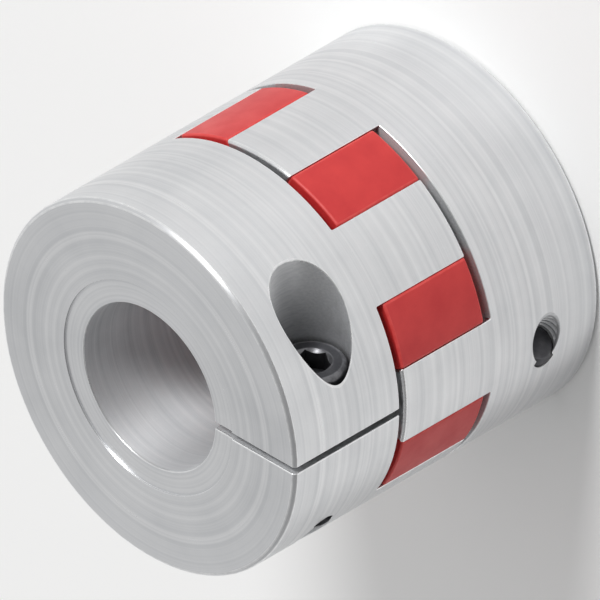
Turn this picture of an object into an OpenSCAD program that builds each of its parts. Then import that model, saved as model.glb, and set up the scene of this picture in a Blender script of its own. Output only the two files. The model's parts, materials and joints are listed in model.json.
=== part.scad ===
// Jaw coupling for two shafts: two split clamping hubs whose jaws interlock round an elastomer spider.
// The coupling stands on the rear hub's end face, with the shaft axis on +Z and the front hub on top.
// Lengths are in millimetres and angles in degrees.

/* [Coupling] */
// Outside diameter of the hubs and the spider
outer_d = 56; // [52:0.5:70]
// Bore of each hub, which takes the shaft
bore_d = 25; // [14:0.5:28]
// Length of each hub from its end face to the root of its jaws
hub_len = 20; // [16:0.5:32]
// Chamfer round the rim of each end face
rim_chamfer = 0.5; // [0.2:0.1:1.5]
// Width of the shallow relief turned round the bore in each end face
relief_w = 3.5; // [1:0.5:6]
// Depth of that relief
relief_depth = 0.25; // [0.1:0.05:1]

/* [Jaws] */
// Jaws on each hub
jaw_count = 4; // [3:1:5]
// Gap between a jaw's tip and the root face of the other hub
tip_gap = 1; // [0.4:0.1:3]
// Chamfer on the outer and inner edge of each jaw's tip
tip_chamfer = 0.3; // [0.1:0.1:0.8]
// Radius of the curved flanks where the jaws and the spider's legs meet
flank_r = 15; // [12:0.5:24]

/* [Spider] */
// Length of the spider along the shaft
spider_len = 15.6; // [10:0.2:24]
// Gap between each end of the spider and the root face of the hub beside it
spider_end_gap = 1.2; // [0.4:0.1:3]
// Angle that each leg takes up at the outside diameter
leg_angle = 20; // [14:1:26]
// How far inside the outside diameter a leg is widest
leg_crown_depth = 3.5; // [2:0.5:6]
// Chamfer on the outer edges of each leg's ends
leg_chamfer = 0.3; // [0.1:0.1:0.8]
// Wall of the ring that joins the legs
ring_wall = 4; // [2:0.5:6]
// Room between the shaft and the hole through the ring
shaft_room = 0.6; // [0.2:0.1:2]
// Gap between the ring and the inner faces of the jaws
ring_gap = 0.3; // [0.1:0.1:1]
// Gap between a leg's flank and the jaw's flank beside it
flank_gap = 0.05; // [0.02:0.01:0.3]

/* [Clamp] */
// Width of the slit that lets a hub close on its shaft
slit_w = 1; // [0.6:0.1:2]
// Wall between the counterbore of the clamp screw and the outside diameter, at the slit
rim_wall = 1.5; // [0.5:0.25:3]
// Wall between the slit and the seat of the screw's head
seat_wall = 3.5; // [2:0.25:6]
// Room round the screw's head in its counterbore
head_room = 0.5; // [0.2:0.1:1]
// Room round the screw's thread where it passes through the first ear
thread_room = 0.3; // [0.1:0.1:0.6]

/* [Clamp screw] */
// Nominal diameter of the screw's thread
thread_d = 6; // [5:0.5:7]
// Pitch of the thread
thread_pitch = 1; // [0.5:0.05:1.25]
// Length of the screw below its head
screw_len = 20; // [14:1:22]
// Diameter of the head
head_d = 10; // [8.5:0.5:11]
// Height of the head
head_h = 6; // [5:0.5:7]
// Rounding of the head's upper rim
head_round = 0.6; // [0.2:0.1:1]
// Width across the flats of the hexagon socket
socket_af = 5; // [3:0.5:6]
// Depth of the hexagon socket's flats
socket_depth = 3; // [2:0.25:4]
// Width of the lead-in round the socket's corners
socket_lead = 0.1; // [0.05:0.05:0.3]

/* [Hidden] */
$fn = 96;
// How far a cutter passes the surface that it opens
over = 1;

outer_r = outer_d / 2;
bore_r = bore_d / 2;
relief_r = bore_r + relief_w;

// Along the shaft
jaw_zone = spider_len + 2 * spider_end_gap;
tip_z = hub_len + jaw_zone - tip_gap;
spider_z = hub_len + spider_end_gap;
overall_len = 2 * hub_len + jaw_zone;

// Round the shaft: the hubs' jaws take turns, with a leg between each two
jaw_pitch = 360 / jaw_count;
leg_turn = jaw_pitch / 4;
rear_turn = -jaw_pitch / 2;

// The spider's ring and the jaws round it
ring_inner_r = bore_r + shaft_room;
ring_outer_r = ring_inner_r + ring_wall;
jaw_inner_r = ring_outer_r + ring_gap;

// Each flank is an arc that meets the outside diameter half a leg's angle from the leg's middle
crown_r = outer_r - leg_crown_depth;
flank_offset = sqrt(pow(flank_r, 2) - pow(outer_r * cos(leg_angle / 2) - crown_r, 2))
    - outer_r * sin(leg_angle / 2);

// The clamp screw, across the slit at the middle of the hub
head_r = head_d / 2;
counterbore_r = head_r + head_room;
screw_x = outer_r - rim_wall - counterbore_r;
screw_z = hub_len / 2;
seat_y = slit_w / 2 + seat_wall;
// Both threads are drawn at their cores: the drilled hole before tapping, and the root of the screw's thread
thread_root_ratio = 0.61343;
tapping_r = (thread_d - thread_pitch) / 2;
shank_r = thread_d / 2 - thread_root_ratio * thread_pitch;
passing_r = thread_d / 2 + thread_room;
socket_corner_r = socket_af / 2 / cos(30);
socket_lead_r = socket_corner_r + socket_lead;
socket_point_h = socket_af / 2 * tan(30);

// Section of one leg, on +X: where two flank arcs overlap
module leg_section(arc_r) {
    intersection() {
        translate([crown_r, -flank_offset]) circle(arc_r);
        translate([crown_r, flank_offset]) circle(arc_r);
    }
}

// Section of the spaces between a hub's jaws, the first on +X: a sector and the legs on both sides of it
module jaw_space_section() {
    reach = outer_r / cos(leg_turn) + over;
    for (i = [0 : jaw_count - 1]) rotate(i * jaw_pitch) {
        polygon([
            [0, 0],
            [reach * cos(leg_turn), -reach * sin(leg_turn)],
            [reach * cos(leg_turn), reach * sin(leg_turn)]
        ]);
        for (side = [-1, 1]) rotate(side * leg_turn) leg_section(flank_r);
    }
}

// Turned blank of a hub: end face on z = 0, root of the jaws at hub_len, jaw tips at tip_z
module hub_blank() {
    rotate_extrude() polygon([
        [bore_r, relief_depth],
        [relief_r, relief_depth],
        [relief_r, 0],
        [outer_r - rim_chamfer, 0],
        [outer_r, rim_chamfer],
        [outer_r, tip_z - tip_chamfer],
        [outer_r - tip_chamfer, tip_z],
        [jaw_inner_r + tip_chamfer, tip_z],
        [jaw_inner_r, tip_z - tip_chamfer],
        [jaw_inner_r, hub_len],
        [bore_r, hub_len]
    ]);
}

// Puts a screw's children on its axis: seat at z = 0, head above, thread below
module on_screw_axis() {
    translate([screw_x, -seat_y, screw_z]) rotate([90, 0, 0]) children();
}

// Counterbore, passing hole through the first ear, and tapped hole through the second
module screw_holes() {
    on_screw_axis() {
        cylinder(r = counterbore_r, h = outer_r);
        translate([0, 0, -seat_y]) cylinder(r = passing_r, h = seat_y + over);
        translate([0, 0, -seat_y - outer_r]) cylinder(r = tapping_r, h = outer_r + over);
    }
}

// One hub: turned, milled between the jaws, split on +X and drilled across the slit
module clamp_hub() {
    difference() {
        hub_blank();
        translate([0, 0, hub_len]) linear_extrude(jaw_zone) jaw_space_section();
        translate([bore_r / 2, -slit_w / 2, -over]) cube([outer_r, slit_w, hub_len + 2 * over]);
        screw_holes();
    }
}

// One socket head cap screw, with its seat on z = 0 and a corner of its socket towards the hub's end face
module cap_screw() {
    rotate(90) difference() {
        union() {
            rotate_extrude() {
                square([head_r - head_round, head_h]);
                square([head_r, head_h - head_round]);
                translate([head_r - head_round, head_h - head_round]) circle(head_round);
            }
            translate([0, 0, -screw_len]) cylinder(r = shank_r, h = screw_len + over);
        }
        translate([0, 0, head_h - socket_depth])
            cylinder(r = socket_corner_r, h = socket_depth + over, $fn = 6);
        translate([0, 0, head_h - socket_depth - socket_point_h])
            cylinder(r1 = 0, r2 = socket_af / 2, h = socket_point_h);
        translate([0, 0, head_h - socket_lead_r])
            cylinder(r1 = 0, r2 = socket_lead_r + over, h = socket_lead_r + over);
    }
}

// The front hub is turned over, so that its end face is on top and its jaws point down
module at_front() {
    translate([0, 0, overall_len]) rotate([180, 0, 0]) children();
}

// The rear hub is turned by half a pitch, so that its jaws come up between the front hub's
module at_rear() {
    rotate(rear_turn) children();
}

module front_hub() {
    color("silver") at_front() clamp_hub();
}

module rear_hub() {
    color("silver") at_rear() clamp_hub();
}

// Section of the spider: a ring with a leg between each two jaws
module spider_section() {
    difference() {
        union() {
            circle(ring_outer_r);
            for (i = [0 : 2 * jaw_count - 1]) rotate(leg_turn + i * jaw_pitch / 2)
                leg_section(flank_r - flank_gap);
        }
        circle(ring_inner_r);
    }
}

module elastomer_spider() {
    color("firebrick") translate([0, 0, spider_z]) intersection() {
        linear_extrude(spider_len) spider_section();
        rotate_extrude() polygon([
            [0, 0],
            [outer_r - leg_chamfer, 0],
            [outer_r, leg_chamfer],
            [outer_r, spider_len - leg_chamfer],
            [outer_r - leg_chamfer, spider_len],
            [0, spider_len]
        ]);
    }
}

module front_clamp_screw() {
    color("dimgray") at_front() on_screw_axis() cap_screw();
}

module rear_clamp_screw() {
    color("dimgray") at_rear() on_screw_axis() cap_screw();
}

front_hub();
rear_hub();
elastomer_spider();
front_clamp_screw();
rear_clamp_screw();
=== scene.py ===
import json
from math import acos, asin, atan2, cos, degrees, hypot, pi, radians, sin, sqrt, tan

import bmesh
import bpy
import numpy as np
from mathutils import Matrix, Vector

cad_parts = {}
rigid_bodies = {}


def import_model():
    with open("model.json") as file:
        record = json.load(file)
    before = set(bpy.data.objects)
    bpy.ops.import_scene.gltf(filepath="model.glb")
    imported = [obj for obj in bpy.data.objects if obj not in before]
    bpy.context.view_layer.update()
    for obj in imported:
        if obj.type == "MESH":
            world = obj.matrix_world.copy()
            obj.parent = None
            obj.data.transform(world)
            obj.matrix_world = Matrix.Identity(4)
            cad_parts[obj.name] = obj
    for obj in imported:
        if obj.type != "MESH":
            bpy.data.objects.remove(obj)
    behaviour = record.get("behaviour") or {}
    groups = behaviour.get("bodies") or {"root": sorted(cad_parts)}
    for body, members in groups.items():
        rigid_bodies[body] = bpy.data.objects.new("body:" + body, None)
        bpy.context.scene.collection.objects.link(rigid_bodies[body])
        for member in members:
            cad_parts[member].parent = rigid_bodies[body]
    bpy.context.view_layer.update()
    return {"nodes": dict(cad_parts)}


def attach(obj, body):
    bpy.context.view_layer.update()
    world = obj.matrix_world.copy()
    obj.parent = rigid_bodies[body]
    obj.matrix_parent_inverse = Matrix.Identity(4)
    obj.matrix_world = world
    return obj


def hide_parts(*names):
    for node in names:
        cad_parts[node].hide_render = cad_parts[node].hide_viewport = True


for leftover in list(bpy.data.objects):  # the startup cube, lamp and camera
    bpy.data.objects.remove(leftover)
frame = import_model()
print("coupling loaded:", sorted(frame["nodes"]))

mm = 0.001
faceKinds = ["turned", "edge", "milled", "bored"]  # while a piece is made, a material slot each
breakAngle = radians(25)  # an edge that turns by more than this is broken
sharpAngle = radians(45)  # one that still turns by more than this is shaded as a sharp edge
sliverWidth = 0.0005  # mm
broadFaces = 80  # how far broad faces outweigh narrow ones in the shading; 50 is even


def newPiece(name, mesh, material, slots=1):
    piece = bpy.data.objects.new(name, mesh)
    bpy.context.collection.objects.link(piece)
    for slot in range(slots):
        mesh.materials.append(material)
    return piece


def applied(piece):  # bakes the modifiers into the mesh
    graph = bpy.context.evaluated_depsgraph_get()
    done = bpy.data.meshes.new_from_object(piece.evaluated_get(graph))
    piece.modifiers.clear()
    piece.data = done


def polar(r, angle, z):
    return Vector((r * cos(radians(angle)), r * sin(radians(angle)), z))


def newPoints(work, spots, z):  # at radii and angles, all at one height
    return [work.verts.new(polar(r, angle, z)) for r, angle in spots]


def bandFaces(work, a, b, closed=True):  # a row of faces between two lines of points
    count = len(a) if closed else len(a) - 1
    pairs = [(i, (i + 1) % len(a)) for i in range(count)]
    return [work.faces.new((a[i], a[j], b[j], b[i])) for i, j in pairs]


def weighEdges(work, rule):  # how far each sharp edge is to be broken
    bmesh.ops.recalc_face_normals(work, faces=work.faces)
    weights = work.edges.layers.float.new("bevel_weight_edge")
    for edge in work.edges:
        if edge.calc_face_angle(0) > breakAngle:
            edge[weights] = rule((edge.verts[0].co + edge.verts[1].co) / 2)


def meshOf(work, name):  # what was drawn in millimetres becomes a mesh in metres
    mesh = bpy.data.meshes.new(name)
    work.to_mesh(mesh)
    work.free()
    mesh.transform(Matrix.Scale(mm, 4))
    return mesh


def breakEdges(piece, width, steps):
    edge = piece.modifiers.new("brokenEdges", "BEVEL")
    edge.width = width * mm
    edge.segments = steps
    edge.limit_method = "WEIGHT"
    edge.use_clamp_overlap = False
    edge.miter_outer = "MITER_ARC"
    edge.material = faceKinds.index("edge")
    applied(piece)


def dropSlivers(mesh):  # the faces without width that a cut can leave
    work = bmesh.new()
    work.from_mesh(mesh)
    bmesh.ops.dissolve_degenerate(work, dist=sliverWidth * mm, edges=work.edges)
    work.to_mesh(mesh)
    work.free()


def storeValues(mesh, name, domain, values):
    layer = mesh.attributes.new(name, "FLOAT", domain)
    layer.data.foreach_set("value", np.asarray(values, np.float32))


def kindsToValues(piece):  # the slots that marked the faces become values that the finish reads
    mesh = piece.data
    kinds = np.empty(len(mesh.polygons), np.int32)
    mesh.polygons.foreach_get("material_index", kinds)
    corners = np.repeat(kinds, [face.loop_total for face in mesh.polygons])
    # the edge faces carry the mask of the lighter edge tone, which is wear and a painted highlight
    for name, kind in (("edgeWearHighlight", "edge"), ("milled", "milled"), ("bored", "bored")):
        storeValues(mesh, name, "CORNER", corners == faceKinds.index(kind))
    mesh.polygons.foreach_set("material_index", np.zeros(len(mesh.polygons), np.int32))
    while len(mesh.materials) > 1:
        mesh.materials.pop()


def evenShading(piece):  # broad faces keep their normals, and the broken edges turn between them
    piece.data.shade_smooth()
    piece.data.set_sharp_from_angle(angle=sharpAngle)
    even = piece.modifiers.new("evenShading", "WEIGHTED_NORMAL")
    even.mode = "FACE_AREA"
    even.keep_sharp = True
    even.weight = broadFaces
    applied(piece)


def addNode(tree, kind, spot, **settings):
    made = tree.nodes.new(kind if kind.startswith("NodeGroup") else "ShaderNode" + kind)
    made.location = spot
    for key, value in settings.items():
        setattr(made, key, value)
    return made


def feed(tree, socket, value):  # with a link from another node, or a plain number or colour
    if isinstance(value, bpy.types.NodeSocket):
        tree.links.new(value, socket)
    else:
        socket.default_value = (*value, 1) if socket.type == "RGBA" else value


def mathNode(tree, operation, spot, a, b):
    made = addNode(tree, "Math", spot, operation=operation)
    feed(tree, made.inputs[0], a)
    feed(tree, made.inputs[1], b)
    return made.outputs[0]


def rangeNode(tree, spot, value, fromLow, fromHigh, toLow, toHigh):
    made = addNode(tree, "MapRange", spot)
    labels = ("Value", "From Min", "From Max", "To Min", "To Max")
    for label, given in zip(labels, (value, fromLow, fromHigh, toLow, toHigh)):
        feed(tree, made.inputs[label], given)
    return made.outputs["Result"]


def noiseNode(tree, spot, where, scale, detail, roughness=0.5, oneWay=False):
    made = addNode(tree, "TexNoise", spot, noise_dimensions="1D" if oneWay else "3D")
    feed(tree, made.inputs["W" if oneWay else "Vector"], where)
    feed(tree, made.inputs["Scale"], scale)
    feed(tree, made.inputs["Detail"], detail)
    feed(tree, made.inputs["Roughness"], roughness)
    return made.outputs["Fac"]


def blendNode(tree, spot, factor, a, b):
    made = addNode(tree, "Mix", spot)
    for label, given in zip(("Factor", "A", "B"), (factor, a, b)):
        feed(tree, made.inputs[label], given)
    return made.outputs["Result"]


def colourNode(tree, spot, factor, a, b):
    made = addNode(tree, "Mix", spot, data_type="RGBA")
    for index, given in zip((0, 6, 7), (factor, a, b)):  # the sockets that mix colours
        feed(tree, made.inputs[index], given)
    return made.outputs[2]


def newGroup(name, inputs, outputs):
    tree = bpy.data.node_groups.new(name, "ShaderNodeTree")
    for way, sockets in (("INPUT", inputs), ("OUTPUT", outputs)):
        for label, kind in sockets.items():
            tree.interface.new_socket(name=label, in_out=way, socket_type="NodeSocket" + kind)
    start = addNode(tree, "NodeGroupInput", (-900, 0))
    end = addNode(tree, "NodeGroupOutput", (900, 0))
    return tree, start.outputs, end.inputs


def useGroup(tree, group, spot, **values):
    made = addNode(tree, "Group", spot, node_tree=group)
    for label, value in values.items():
        feed(tree, made.inputs[label], value)
    return made.outputs


def buildTurnedMarks():
    # The lathe's rings depend only on the radius and the height.
    # A cutter's marks stand along the axis.
    tree, given, result = newGroup(
        "turnedMarks",
        {"Spot": "Vector", "Feed": "Float", "Milled": "Float"},
        {"Height": "Float", "Band": "Float"},
    )
    parts = addNode(tree, "SeparateXYZ", (-700, 0))
    feed(tree, parts.inputs[0], given["Spot"])
    flat = addNode(tree, "CombineXYZ", (-500, 150))
    feed(tree, flat.inputs["X"], parts.outputs["X"])
    feed(tree, flat.inputs["Y"], parts.outputs["Y"])
    radius = addNode(tree, "VectorMath", (-320, 150), operation="LENGTH")
    feed(tree, radius.inputs[0], flat.outputs[0])
    along = mathNode(tree, "ADD", (-140, 100), radius.outputs["Value"], parts.outputs["Z"])
    closer = mathNode(tree, "MULTIPLY", (40, 250), along, given["Feed"])
    fine = noiseNode(tree, (220, 250), closer, 1.0, 2.0, 0.6, oneWay=True)
    broad = noiseNode(tree, (220, 0), along, 0.9, 3.0, 0.65, oneWay=True)
    squeezed = addNode(tree, "VectorMath", (40, -250), operation="MULTIPLY")
    feed(tree, squeezed.inputs[0], given["Spot"])
    feed(tree, squeezed.inputs[1], (3.0, 3.0, 0.25))
    cutter = noiseNode(tree, (220, -250), squeezed.outputs[0], 1.0, 2.0)
    feed(tree, result["Height"], blendNode(tree, (500, 150), given["Milled"], fine, cutter))
    feed(tree, result["Band"], blendNode(tree, (500, -100), given["Milled"], broad, cutter))
    return tree


def buildHandling():
    # Soft clouds from hands and cloths, and a few small specks
    tree, given, result = newGroup(
        "handling",
        {"Spot": "Vector", "Size": "Float", "Grain": "Float"},
        {"Cloud": "Float", "Speck": "Float"},
    )
    cloud = noiseNode(tree, (-300, 150), given["Spot"], given["Size"], 5.0, 0.55)
    grain = noiseNode(tree, (-300, -150), given["Spot"], given["Grain"], 3.0, 0.7)
    feed(tree, result["Cloud"], cloud)
    feed(tree, result["Speck"], rangeNode(tree, (100, -150), grain, 0.62, 0.74, 0.0, 1.0))
    return tree


def buildRubbedEdges():
    # Edges are rubbed to another, lighter tone, partly wear and partly a painted highlight, more in
    # some places than in others
    tree, given, result = newGroup(
        "wearAndHighlightEdges",
        {"Spot": "Vector", "Edge": "Float", "Colour": "Color", "Rubbed": "Color"},
        {"Colour": "Color", "Mask": "Float"},
    )
    uneven = noiseNode(tree, (-500, -150), given["Spot"], 0.9, 4.0)
    share = rangeNode(tree, (-270, -150), uneven, 0.35, 0.6, 0.35, 1.0)
    mask = mathNode(tree, "MULTIPLY", (-50, -100), given["Edge"], share)
    colour = colourNode(tree, (300, 100), mask, given["Colour"], given["Rubbed"])
    feed(tree, result["Colour"], colour)
    feed(tree, result["Mask"], mask)
    return tree


turnedMarks = buildTurnedMarks()
handling = buildHandling()
wearAndHighlightEdges = buildRubbedEdges()
roughSpan = (0.3, 0.7)  # where the clouds go from the roughest to the smoothest


def newFinish(name):
    finish = bpy.data.materials.new(name)
    finish.use_nodes = True
    shader = finish.node_tree.nodes["Principled BSDF"]
    shader.location = (900, 100)
    finish.node_tree.nodes["Material Output"].location = (1250, 100)
    return finish, finish.node_tree, shader.inputs


def onPart(tree):  # where a point is on the coupling, in millimetres
    where = addNode(tree, "TexCoord", (-1500, 0))
    larger = addNode(tree, "VectorMath", (-1300, 0), operation="SCALE")
    feed(tree, larger.inputs[0], where.outputs["Object"])
    feed(tree, larger.inputs["Scale"], 1 / mm)
    return larger.outputs[0]


def stored(tree, spot, name, output="Fac"):  # a value that the mesh carries
    return addNode(tree, "Attribute", spot, attribute_name=name).outputs[output]


def handMarks(tree, look, spot):
    size, grain = look["cloudSize"], look["grainSize"]
    return useGroup(tree, handling, (-900, -100), Spot=spot, Size=size, Grain=grain)


def wornAndHighlitColour(tree, look, spot, clouds, speck):
    # Two tones of one finish, rubbed lighter along the edges and in the specks: wear, with a
    # painted highlight along the edges too
    tone = rangeNode(tree, (-450, 200), clouds, *look["toneSpan"], 0.0, 1.0)
    specks = mathNode(tree, "MULTIPLY", (-500, -450), speck, look["specks"])
    onEdge = stored(tree, (-1300, -500), "edgeWearHighlight")
    edge = mathNode(tree, "MAXIMUM", (-300, -450), onEdge, specks)
    colour = colourNode(tree, (-200, 250), tone, look["dark"], look["light"])
    edgeWearAndHighlight = look["edgeWearAndHighlight"]
    return useGroup(
        tree, wearAndHighlightEdges, (100, 250), Spot=spot, Edge=edge, Colour=colour, Rubbed=edgeWearAndHighlight
    )


def cloudedRoughness(tree, look, clouds):
    rough, smooth = look["roughHigh"], look["roughLow"]
    return rangeNode(tree, (-200, -50), clouds, *roughSpan, rough, smooth)


def bumped(tree, look, height):
    bump = addNode(tree, "Bump", (500, -250))
    feed(tree, bump.inputs["Height"], height)
    feed(tree, bump.inputs["Strength"], look["bump"])
    feed(tree, bump.inputs["Distance"], look["bumpDepth"] * mm)
    return bump.outputs["Normal"]


aluminium = {
    "dark": (0.66, 0.67, 0.685),
    "light": (0.79, 0.795, 0.805),
    # the lighter tone of the broken edges: partly wear, partly a painted highlight
    "edgeWearAndHighlight": (0.88, 0.885, 0.89),
    "toneSpan": (0.35, 0.65),
    "bandShare": 0.6,  # of the lathe's broad bands in the tone,
    "cloudShare": 0.4,  # and of the clouds
    "cloudSize": 0.1,
    "grainSize": 2.0,
    "specks": 0.25,
    "roughLow": 0.27,
    "roughHigh": 0.42,
    "boreRough": 0.42,  # added in the reamed bore
    "milledRough": 0.24,  # added where a cutter has been
    "rubbedRough": 0.08,  # taken off along the edges
    "across": 0.55,  # how far a highlight is stretched across the lathe's rings
    "quarterTurn": 0.25,  # from along the rings to across them
    "feed": 7.0,  # rings in a millimetre
    "bump": 0.5,
    "bumpDepth": 0.010,  # mm
}


def aluminiumFinish(look):
    finish, tree, shader = newFinish("turnedAluminium")
    spot = onPart(tree)
    milled = stored(tree, (-1300, -300), "milled")
    bored = stored(tree, (-1300, -700), "bored")
    marks = useGroup(tree, turnedMarks, (-900, 200), Spot=spot, Feed=look["feed"], Milled=milled)
    hands = handMarks(tree, look, spot)
    bands = mathNode(tree, "MULTIPLY", (-750, 250), marks["Band"], look["bandShare"])
    clouds = mathNode(tree, "MULTIPLY", (-750, 50), hands["Cloud"], look["cloudShare"])
    mixed = mathNode(tree, "ADD", (-600, 150), bands, clouds)
    wornAndHighlit = wornAndHighlitColour(tree, look, spot, mixed, hands["Speck"])
    feed(tree, shader["Base Color"], wornAndHighlit["Colour"])
    inBore = mathNode(tree, "MULTIPLY", (0, -150), bored, look["boreRough"])
    onMilled = mathNode(tree, "MULTIPLY", (0, -300), milled, look["milledRough"])
    added = mathNode(tree, "ADD", (120, -150), inBore, onMilled)
    rougher = mathNode(tree, "ADD", (250, 0), cloudedRoughness(tree, look, mixed), added)
    smoother = mathNode(tree, "MULTIPLY", (250, -200), wornAndHighlit["Mask"], look["rubbedRough"])
    feed(tree, shader["Roughness"], mathNode(tree, "SUBTRACT", (450, 0), rougher, smoother))
    feed(tree, shader["Normal"], bumped(tree, look, marks["Height"]))
    rings = addNode(tree, "Tangent", (500, -450), direction_type="RADIAL", axis="Z")
    feed(tree, shader["Tangent"], rings.outputs["Tangent"])
    feed(tree, shader["Metallic"], 1.0)
    feed(tree, shader["Anisotropic"], look["across"])
    feed(tree, shader["Anisotropic Rotation"], look["quarterTurn"])
    return finish


outside = 28.0  # mm, radius of the whole coupling
halfPitch = 22.5  # degrees from the middle of a jaw to the middle of the leg beside it

flank = {  # the arc where a jaw meets a leg of the spider, in mm from the leg's middle line
    "radius": 15.0,
    "crown": 24.5,
    "legAngle": 10.0,  # half a leg, at the outside
}
flank["offset"] = (
    sqrt(flank["radius"] ** 2 - (outside * cos(radians(flank["legAngle"])) - flank["crown"]) ** 2)
    - outside * sin(radians(flank["legAngle"]))
)

thread = {  # mm
    "pitch": 1.0,
    "crest": 2.95,
    "root": 2.39,
    "crestHalf": 1 / 16,  # shares of a pitch: half of the flat crest,
    "side": 5 / 16,  # a sloping side,
    "rounding": 0.06,  # and the rounding to each side of a corner
    "roundingSteps": 5,
    "rows": 20,  # of mesh, in one pitch
    "columns": 96,
}
rowStep = thread["pitch"] / thread["rows"]
columnAngles = np.arange(thread["columns"]) * 2 * pi / thread["columns"]

hub = {  # mm; the end face is on z = 0, with the slit on +X and the jaws upwards
    "length": 58.0,  # of the whole coupling
    "bore": 12.5,
    "relief": 16.0,
    "reliefDepth": 0.25,
    "rimChamfer": 0.5,
    "root": 20.0,
    "tip": 37.0,
    "tipChamfer": 0.3,
    "jawInside": 17.4,
    "jawMiddles": (45, 135, 225, 315),  # degrees
    "flankSteps": 12,
    "innerSteps": 8,
    "slit": 1.0,
    "edge": 0.18,
    "edgeSteps": 3,
    "reliefEdge": 0.3,  # share of the edge width round the relief,
    "reliefReach": 0.05,  # for edges as near to it as this
    "firstColumn": 3.75,  # degrees; every jaw's corner is on a column
    "columnStep": 1.25,
    "screwOut": 21.0,  # from the shaft to the clamp screw
    "screwUp": 10.0,
    "seat": 4.0,  # from the slit's middle to the seat of the screw's head
    "counterbore": 5.5,
    "holeEdge": 0.2,  # rounding of the counterbore's edge on the outside
    "holeEdgeSteps": 5,
    "holeEdgeOver": 0.3,  # how far above the outside the cutter has its full width
    "seatFillet": (0.2, 0.06),  # its radius, and from the walls to the middle of its arc
    "passing": 3.3,
    "passingChamfer": 0.2,
    "drilled": 2.5,
    "tapRoom": 0.03,
    "threadEnd": (0.35, 0.85),  # how far below the outside the thread runs out
    "tipSpace": (18.27, 19.32),  # below the seat, clear round the screw's tip and its chamfer
    "tapEdge": 0.12,  # chamfer of the tapped hole's edge on the outside,
    "tapEdgeMost": 0.6,  # and how far the cutter widens past it
    "past": 30.0,  # how far the cutter reaches past the outside, and
    "depth": 27.0,  # how far it goes down
}

# From a screw's own axis, with its head up, to its place in a hub
screwInHub = (
    Matrix.Translation((hub["screwOut"], -hub["seat"], hub["screwUp"]))
    @ Matrix(((1, 0, 0), (0, 0, -1), (0, 1, 0))).to_4x4()
)
hubPlaces = {  # from a hub to its place in the coupling
    "front": Matrix.Translation((0, 0, hub["length"])) @ Matrix.Rotation(pi, 4, "X"),
    "rear": Matrix.Rotation(radians(-2 * halfPitch), 4, "Z"),
}


def legHalfAngle(r, radius):  # half the angle of a leg at a distance from the axis
    far = hypot(flank["crown"], flank["offset"])
    toArc = acos((r * r + far * far - radius ** 2) / (2 * r * far))
    return degrees(toArc - atan2(flank["offset"], flank["crown"]))


def jawOutline(h, outer, inner, middle, columns):
    # Round one jaw: over the outside, down one flank, along the inner face and up the other flank
    def flankAngle(r):
        return halfPitch - legHalfAngle(r, flank["radius"])

    over = np.linspace(-flankAngle(outer), flankAngle(outer), columns)
    down = np.linspace(outer, inner, h["flankSteps"] + 1)
    across = np.linspace(flankAngle(inner), -flankAngle(inner), h["innerSteps"] + 1)
    spots = [(outer, middle + a) for a in over]
    spots += [(r, middle + flankAngle(r)) for r in down[1:]]
    spots += [(inner, middle + a) for a in across[1:-1]]
    spots += [(r, middle - flankAngle(r)) for r in down[:0:-1]]
    return spots


def hubBlank(h):
    work = bmesh.new()
    step, steps, chamfer = h["columnStep"], h["flankSteps"], h["tipChamfer"]
    columns = np.arange(h["firstColumn"], 360 - h["firstColumn"] + step / 2, step)

    def ring(r, z):  # open at the slit
        gap = degrees(asin(h["slit"] / 2 / r))
        return newPoints(work, [(r, a) for a in (gap, *columns, 360 - gap)], z)

    def columnAt(angle):
        return 1 + round((angle - h["firstColumn"]) / step)

    profile = [
        (h["bore"], h["root"]),
        (h["bore"], h["reliefDepth"]),
        (h["relief"], h["reliefDepth"]),
        (h["relief"], 0),
        (outside - h["rimChamfer"], 0),
        (outside, h["rimChamfer"]),
        (outside, h["root"]),
    ]
    rings = [ring(r, z) for r, z in profile]
    bands = [bandFaces(work, a, b, closed=False) for a, b in zip(rings, rings[1:])]
    milled = [work.faces.new([r[0] for r in rings]), work.faces.new([r[-1] for r in rings])]

    jawHalf = halfPitch - flank["legAngle"]
    top = rings[-1]
    border, done = [], 0  # the root face runs round the feet of the jaws
    for middle in h["jawMiddles"]:
        first, last = columnAt(middle - jawHalf), columnAt(middle + jawHalf)
        count = last - first + 1
        foot = jawOutline(h, outside, h["jawInside"], middle, count)
        crown = jawOutline(h, outside - chamfer, h["jawInside"] + chamfer, middle, count)
        base = top[first : last + 1] + newPoints(work, foot[count:], h["root"])
        loops = [
            base,
            newPoints(work, foot, h["tip"] - chamfer),
            newPoints(work, crown, h["tip"]),
        ]
        for a, b in zip(loops, loops[1:]):
            faces = bandFaces(work, a, b)
            milled += faces[count - 1 : count - 1 + steps] + faces[-steps:]  # the two flanks
        work.faces.new(loops[-1])
        border += top[done:first] + [base[0]] + base[: count - 1 : -1] + [base[count - 1]]
        done = last + 1
    milled.append(work.faces.new(border + top[done:] + rings[0][::-1]))
    for kind, faces in (("bored", bands[0]), ("milled", milled)):
        for face in faces:
            face.material_index = faceKinds.index(kind)

    def edgeShare(spot):
        fromRelief = abs(hypot(spot.x, spot.y) - h["relief"])
        onRelief = fromRelief < h["reliefReach"] and spot.z < h["rimChamfer"]
        return h["reliefEdge"] if onRelief else 1.0

    weighEdges(work, edgeShare)
    return meshOf(work, "hubBlank")


def threadRadius(depth):  # right-hand thread, with the depth counted down from the seat
    turn = depth / thread["pitch"] + columnAngles / (2 * pi)
    shifts = thread["rounding"] * np.linspace(-1, 1, thread["roundingSteps"])
    fromCrest = np.abs(np.mod(turn + shifts[:, None], 1.0) - 0.5)
    fall = np.clip((fromCrest - thread["crestHalf"]) / thread["side"], 0, 1)
    return thread["crest"] - fall.mean(axis=0) * (thread["crest"] - thread["root"])


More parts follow.
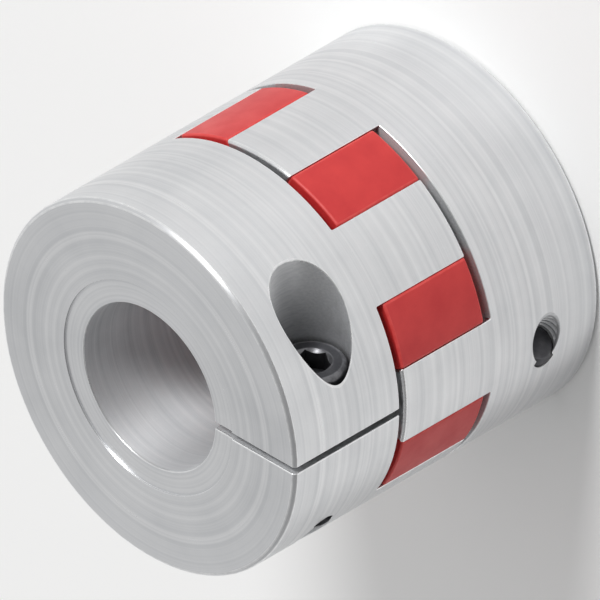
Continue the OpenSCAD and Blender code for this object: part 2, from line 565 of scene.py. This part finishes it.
def ringMesh(name, rings, top, bottom, transform):
    # One closed skin over rings of radii and heights, between a top and a bottom point
    columns = len(columnAngles)
    spots = [(0, 0, top)]
    for radius, height in rings:
        radius = np.broadcast_to(radius, columns)
        height = np.broadcast_to(height, columns)
        spots += list(zip(radius * np.cos(columnAngles), radius * np.sin(columnAngles), height))
    spots.append((0, 0, bottom))
    faces = []
    last = 1 + (len(rings) - 1) * columns
    for j in range(columns):
        k = (j + 1) % columns
        faces.append((0, 1 + j, 1 + k))
        for a in range(1, last, columns):
            b = a + columns
            faces.append((a + j, b + j, b + k, a + k))
        faces.append((last + j, len(spots) - 1, last + k))
    mesh = bpy.data.meshes.new(name)
    place = Matrix.Scale(mm, 4) @ transform
    mesh.from_pydata([tuple(place @ Vector(spot)) for spot in spots], [], faces)
    mesh.update()
    return mesh, spots


def screwHoles(h):
    # Counterbore, passing hole and tapped hole as one cutter, with the outer edges already broken
    def fromShaft(radius):  # square to the screw
        return h["screwOut"] + radius * np.cos(columnAngles)

    def toOutside(radius):  # from the seat up to the outside, along the screw
        return np.sqrt(outside ** 2 - fromShaft(radius) ** 2) - h["seat"]

    def underOutside(radius, depth):  # from the wall of the tapped hole to the outside
        return outside - np.hypot(fromShaft(radius), depth - h["seat"])

    rings, kinds = [], []

    def ring(radius, height, kind="milled"):
        rings.append((radius, height))
        kinds.append(faceKinds.index(kind))

    wide = h["counterbore"] + h["holeEdge"]
    ring(wide, h["past"])
    ring(wide, toOutside(wide) + h["holeEdgeOver"])
    for turn in np.linspace(pi / 2, 0, h["holeEdgeSteps"]):
        radius = h["counterbore"] + h["holeEdge"] * (1 - cos(turn))
        ring(radius, toOutside(radius) - h["holeEdge"] * (1 - sin(turn)), "edge")
    fillet, arcMiddle = h["seatFillet"]
    ring(h["counterbore"], fillet)
    ring(h["counterbore"] - arcMiddle, arcMiddle)
    ring(h["counterbore"] - fillet, 0.0)
    ring(h["passing"] + h["passingChamfer"], 0.0)
    ring(h["passing"], -h["passingChamfer"])
    ring(h["passing"], -h["seat"])

    drilled = h["drilled"]
    start, end = h["threadEnd"]
    opened, narrowed = h["tipSpace"]
    for depth in np.arange(h["seat"], h["depth"], rowStep):
        radius = np.maximum(threadRadius(depth) + h["tapRoom"], drilled)
        if depth > opened:  # clear round the screw's tip, and the thread beyond it runs out
            left = np.clip((underOutside(drilled, depth) - start) / (end - start), 0, 1)
            roundTip = thread["crest"] + h["tapRoom"] - max(depth - narrowed, 0)
            radius = np.maximum(drilled + (radius - drilled) * left, roundTip)
        widened = np.clip(h["tapEdge"] - underOutside(radius, depth), 0, h["tapEdgeMost"])
        ring(radius + widened, -depth)
    mesh, _ = ringMesh("screwHoles", rings, h["past"], -h["depth"], screwInHub)
    for face in mesh.polygons:  # the faces come column by column
        row = face.index % (len(rings) + 1)
        face.material_index = kinds[min(row, len(rings) - 1)]
    return mesh


hubFinish = aluminiumFinish(aluminium)
for side in ("front", "rear"):
    piece = newPiece(side + "Hub", hubBlank(hub), hubFinish, len(faceKinds))
    breakEdges(piece, hub["edge"], hub["edgeSteps"])
    cutter = newPiece("screwHoles", screwHoles(hub), hubFinish, len(faceKinds))
    drill = piece.modifiers.new("drilled", "BOOLEAN")
    drill.operation = "DIFFERENCE"
    drill.solver = "MANIFOLD"
    drill.material_mode = "INDEX"
    drill.object = cutter
    applied(piece)
    bpy.data.objects.remove(cutter)
    dropSlivers(piece.data)
    kindsToValues(piece)
    evenShading(piece)
    piece.data.transform(Matrix.Scale(mm, 4) @ hubPlaces[side] @ Matrix.Scale(1 / mm, 4))
    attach(piece, "root")
    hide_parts(side + "_hub")
    print(side, "hub:", len(piece.data.vertices), "points,", len(piece.data.polygons), "faces")

spider = {  # mm
    "hole": 13.1,
    "ring": 17.1,
    "low": 21.2,
    "high": 36.8,
    "flankGap": 0.05,
    "flankSteps": 11,
    "tipSteps": 16,
    "rootSteps": 8,
    "valleySteps": 4,
    "edge": 0.35,
    "edgeSteps": 4,
    "dark": (0.50, 0.021, 0.023),
    "light": (0.585, 0.033, 0.031),
    "edgeWearAndHighlight": (0.64, 0.06, 0.055),
    "toneSpan": (0.3, 0.7),
    "cloudSize": 0.22,
    "grainSize": 3.5,
    "specks": 0.3,
    "roughLow": 0.38,
    "roughHigh": 0.50,
    "specular": 0.45,
    "skinSize": 4.0,
    "skinDetail": 4.0,
    "bump": 0.6,
    "bumpDepth": 0.012,
}


def spiderFinish(look):
    finish, tree, shader = newFinish("mouldedElastomer")
    spot = onPart(tree)
    hands = handMarks(tree, look, spot)
    wornAndHighlit = wornAndHighlitColour(tree, look, spot, hands["Cloud"], hands["Speck"])
    feed(tree, shader["Base Color"], wornAndHighlit["Colour"])
    feed(tree, shader["Roughness"], cloudedRoughness(tree, look, hands["Cloud"]))
    skin = noiseNode(tree, (-500, -250), spot, look["skinSize"], look["skinDetail"])
    feed(tree, shader["Normal"], bumped(tree, look, skin))
    feed(tree, shader["Specular IOR Level"], look["specular"])
    return finish


def spiderMesh(look):
    # Each end has a ring of even faces, and a face for each leg that grows out of the ring
    reach = flank["radius"] - look["flankGap"]
    rootHalf = legHalfAngle(look["ring"], reach)
    tipHalf = legHalfAngle(outside, reach)
    climb = np.linspace(look["ring"], outside, look["flankSteps"] + 1)[1:]
    tip = np.linspace(-tipHalf, tipHalf, look["tipSteps"] + 1)[1:-1]
    turns, legs = [], []
    for leg in np.arange(halfPitch, 360, 2 * halfPitch):
        before = np.linspace(leg - halfPitch, leg - rootHalf, look["valleySteps"] + 1)
        root = np.linspace(leg - rootHalf, leg + rootHalf, look["rootSteps"] + 1)
        after = np.linspace(leg + rootHalf, leg + halfPitch, look["valleySteps"] + 1)
        over = [(r, leg - legHalfAngle(r, reach)) for r in climb]
        over += [(outside, leg + a) for a in tip]
        over += [(r, leg + legHalfAngle(r, reach)) for r in climb[::-1]]
        first = len(turns) + look["valleySteps"]
        legs.append((first, first + look["rootSteps"], over))
        turns += [*before[:-1], *root, *after[1:-1]]
    work = bmesh.new()
    holes, rims = [], []
    for z in (look["low"], look["high"]):
        hole = newPoints(work, [(look["hole"], a) for a in turns], z)
        ring = newPoints(work, [(look["ring"], a) for a in turns], z)
        bandFaces(work, hole, ring)
        rim, done = [], 0
        for first, last, over in legs:
            edge = newPoints(work, over, z)
            work.faces.new(ring[first : last + 1][::-1] + edge)
            rim += ring[done : first + 1] + edge + [ring[last]]
            done = last + 1
        holes.append(hole)
        rims.append(rim + ring[done:])
    bandFaces(work, *holes)
    bandFaces(work, *rims)
    weighEdges(work, lambda spot: 1.0)
    return meshOf(work, "elastomerSpider")


piece = newPiece("elastomerSpider", spiderMesh(spider), spiderFinish(spider), len(faceKinds))
breakEdges(piece, spider["edge"], spider["edgeSteps"])
kindsToValues(piece)
evenShading(piece)
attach(piece, "root")
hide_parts("elastomer_spider")
print("spider:", len(piece.data.vertices), "points,", len(piece.data.polygons), "faces")

screw = {  # mm
    "headRadius": 5.0,
    "headHeight": 6.0,
    "rimRound": 0.6,
    "rimSteps": 9,
    "footChamfer": 0.2,
    "neckRound": 0.3,
    "neckSteps": 5,
    "socketWidth": 5.0,
    "socketDepth": 3.0,
    "socketLead": 0.1,
    "leadShare": 0.92,  # of the way up the lead-in, where its upper edge starts
    "leadDrops": (0.6, 0.3, 0.08),  # below the lead-in, where the rubbing fades
    "pointShares": (0.3, 0.65, 1.0),  # of the radius of the drilled point, a ring each
    "length": 20.0,
    "threadStart": (0.6, 1.6),  # below the head, where the thread grows to its full height
    "tipRadius": 2.25,
    "tipMiddle": 1.0,
    "sharpAngle": 35,  # degrees
    "dark": (0.030, 0.030, 0.034),
    "light": (0.060, 0.060, 0.066),
    "edgeWearAndHighlight": (0.20, 0.20, 0.21),
    "toneSpan": (0.35, 0.65),
    "cloudSize": 0.35,
    "grainSize": 2.5,
    "specks": 0.3,
    "roughLow": 0.30,
    "roughHigh": 0.46,
    "metallic": 0.75,
    "feed": 9.0,
    "bump": 0.4,
    "bumpDepth": 0.008,
    "beside": {  # from an edge to a ring that keeps the shading of the edge narrow
        "socketFloor": 0.05,
        "lead": 0.04,
        "leadOut": 0.25,
        "rimIn": 0.2,
        "rimDown": 0.3,
        "footUp": 0.1,
        "neckOut": 0.3,
        "tipIn": 0.25,
    },
    "rubbing": {  # how far each edge is rubbed
        "socketWall": 0.2,
        "leadFoot": 1.0,
        "leadTop": 0.9,
        "leadOut": 0.6,
        "rim": 0.75,
        "foot": 0.6,
        "thread": 0.25,
        "tip": 0.5,
        "tipIn": 0.2,
    },
}


def screwRings(s):
    flat = s["socketWidth"] / 2
    # a corner of the socket points along the coupling
    hexagon = flat / np.cos(np.mod(columnAngles - pi / 2, pi / 3) - pi / 6)
    lead = flat / cos(pi / 6) + s["socketLead"]
    leadWidth = lead - hexagon
    top = s["headHeight"]
    bottom = top - s["socketDepth"]
    pointHeight = flat * tan(pi / 6)  # of the drilled point under the socket
    head, rim, foot = s["headRadius"], s["rimRound"], s["footChamfer"]
    beside = s["beside"]
    rings, rub = [], []

    def ring(radius, height, edgeWearAndHighlight=None):
        rings.append((radius, height))
        rub.append(s["rubbing"][edgeWearAndHighlight] if edgeWearAndHighlight else 0.0)

    for share in s["pointShares"]:
        ring(flat * share, bottom - pointHeight * (1 - share))
    ring(hexagon, bottom)
    ring(hexagon, bottom + beside["socketFloor"])
    for drop in s["leadDrops"]:
        ring(hexagon, top - leadWidth - drop, "socketWall")
    ring(hexagon, top - leadWidth, "leadFoot")
    share = s["leadShare"]
    ring(hexagon + leadWidth * share, top - leadWidth * (1 - share), "leadTop")
    ring(lead + beside["lead"], top, "leadOut")
    ring(lead + beside["leadOut"], top)
    ring(head - rim - beside["rimIn"], top)
    for turn in np.linspace(0, pi / 2, s["rimSteps"]):
        ring(head - rim * (1 - sin(turn)), top - rim * (1 - cos(turn)), "rim")
    ring(head, top - rim - beside["rimDown"])
    ring(head, foot + beside["footUp"])
    ring(head, foot, "foot")
    ring(head - foot, 0.0, "foot")
    neck = thread["root"] + s["neckRound"]
    ring(neck + beside["neckOut"], 0.0)
    for turn in np.linspace(0, pi / 2, s["neckSteps"]):
        ring(neck - s["neckRound"] * sin(turn), -s["neckRound"] * (1 - cos(turn)))
    start, full = s["threadStart"]
    for depth in np.arange(start, s["length"] - rowStep / 2, rowStep):
        grown = min((depth - start) / (full - start), 1)
        radius = thread["root"] + (threadRadius(depth) - thread["root"]) * grown
        chamfer = s["tipRadius"] + s["length"] - depth
        ring(np.minimum(radius, chamfer), -depth, "thread")
    ring(s["tipRadius"], -s["length"], "tip")
    ring(s["tipRadius"] - beside["tipIn"], -s["length"], "tipIn")
    ring(s["tipMiddle"], -s["length"])
    return rings, rub, bottom - pointHeight, -s["length"]


def screwFinish(look):
    finish, tree, shader = newFinish("blackOxide")
    spot = stored(tree, (-1300, 0), "bench", "Vector")
    marks = useGroup(tree, turnedMarks, (-900, 200), Spot=spot, Feed=look["feed"])
    hands = handMarks(tree, look, spot)
    wornAndHighlit = wornAndHighlitColour(tree, look, spot, hands["Cloud"], hands["Speck"])
    feed(tree, shader["Base Color"], wornAndHighlit["Colour"])
    feed(tree, shader["Roughness"], cloudedRoughness(tree, look, hands["Cloud"]))
    feed(tree, shader["Normal"], bumped(tree, look, marks["Height"]))
    feed(tree, shader["Metallic"], look["metallic"])
    return finish


oxideFinish = screwFinish(screw)
for side in ("front", "rear"):
    rings, rub, top, bottom = screwRings(screw)
    place = hubPlaces[side] @ screwInHub
    mesh, spots = ringMesh(side + "ClampScrew", rings, top, bottom, place)
    bench = mesh.attributes.new("bench", "FLOAT_VECTOR", "POINT")  # each point's place on the screw
    bench.data.foreach_set("vector", np.array(spots, np.float32).ravel())
    storeValues(mesh, "edgeWearHighlight", "POINT", [0.0, *np.repeat(rub, thread["columns"]), 0.0])
    mesh.shade_smooth()
    mesh.set_sharp_from_angle(angle=radians(screw["sharpAngle"]))
    piece = newPiece(side + "ClampScrew", mesh, oxideFinish)
    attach(piece, "root")
    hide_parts(side + "_clamp_screw")
    print(side, "screw:", len(mesh.vertices), "points,", len(mesh.polygons), "faces")

studio = {
    "floor": (0.94, 0.94, 0.935),
    "floorRough": 0.9,
    "floorSpecular": 0.1,
    "floorHalf": 3.0,  # m
    "skyHigh": 0.78,
    "skyLow": 0.18,
    "skySpan": 0.9,
    "skyTowards": (-0.9, 0.25, 0.32),  # where the sky is brightest
    "keySpot": (-0.225, 4.725, 3.405),
    "keyTarget": (0, 0, 0.03),
    "keySize": 1.80,
    "keyWatts": 220,
}


def buildStudio(look):
    half = look["floorHalf"]
    floorMesh = bpy.data.meshes.new("floor")
    corners = [(-half, -half, 0), (half, -half, 0), (half, half, 0), (-half, half, 0)]
    floorMesh.from_pydata(corners, [], [(0, 1, 2, 3)])
    paper, tree, shader = newFinish("paleFloor")
    feed(tree, shader["Base Color"], look["floor"])
    feed(tree, shader["Roughness"], look["floorRough"])
    feed(tree, shader["Specular IOR Level"], look["floorSpecular"])
    newPiece("floor", floorMesh, paper)

    sky = bpy.data.worlds.new("studioSky")
    bpy.context.scene.world = sky
    sky.use_nodes = True
    tree = sky.node_tree
    where = addNode(tree, "TexCoord", (-800, 0))
    facing = addNode(tree, "VectorMath", (-600, 0), operation="DOT_PRODUCT")
    feed(tree, facing.inputs[0], where.outputs["Generated"])
    feed(tree, facing.inputs[1], look["skyTowards"])
    span, towards = look["skySpan"], facing.outputs["Value"]
    level = rangeNode(tree, (-400, 0), towards, -span, span, look["skyLow"], look["skyHigh"])
    feed(tree, tree.nodes["Background"].inputs["Color"], (1, 1, 1))
    feed(tree, tree.nodes["Background"].inputs["Strength"], level)

    lamp = bpy.data.lights.new("keyLamp", "AREA")
    lamp.shape = "DISK"
    lamp.size = look["keySize"]
    lamp.energy = look["keyWatts"]
    holder = bpy.data.objects.new("keyLamp", lamp)
    bpy.context.collection.objects.link(holder)
    holder.location = look["keySpot"]
    shining = Vector(look["keyTarget"]) - Vector(look["keySpot"])
    holder.rotation_euler = shining.to_track_quat("-Z", "Y").to_euler()


buildStudio(studio)

camera = {
    "aim": (0, 0, 0.029),
    "towards": (1, 1, 1),  # from the coupling to the camera
    "up": (-1, 2, -1),
    "distance": 0.4,
    "frameWidth": 0.08082,
}


def buildCamera(look):
    back = Vector(look["towards"]).normalized()
    right = Vector(look["up"]).cross(back).normalized()
    up = back.cross(right)
    lens = bpy.data.cameras.new("drawingCamera")
    lens.type = "ORTHO"
    lens.ortho_scale = look["frameWidth"]
    holder = bpy.data.objects.new("drawingCamera", lens)
    bpy.context.collection.objects.link(holder)
    turned = Matrix((right, up, back)).transposed().to_4x4()
    turned.translation = Vector(look["aim"]) + back * look["distance"]
    holder.matrix_world = turned
    bpy.context.scene.camera = holder


buildCamera(camera)
bpy.context.scene.view_settings.view_transform = "Standard"
print("floor, light and camera set")
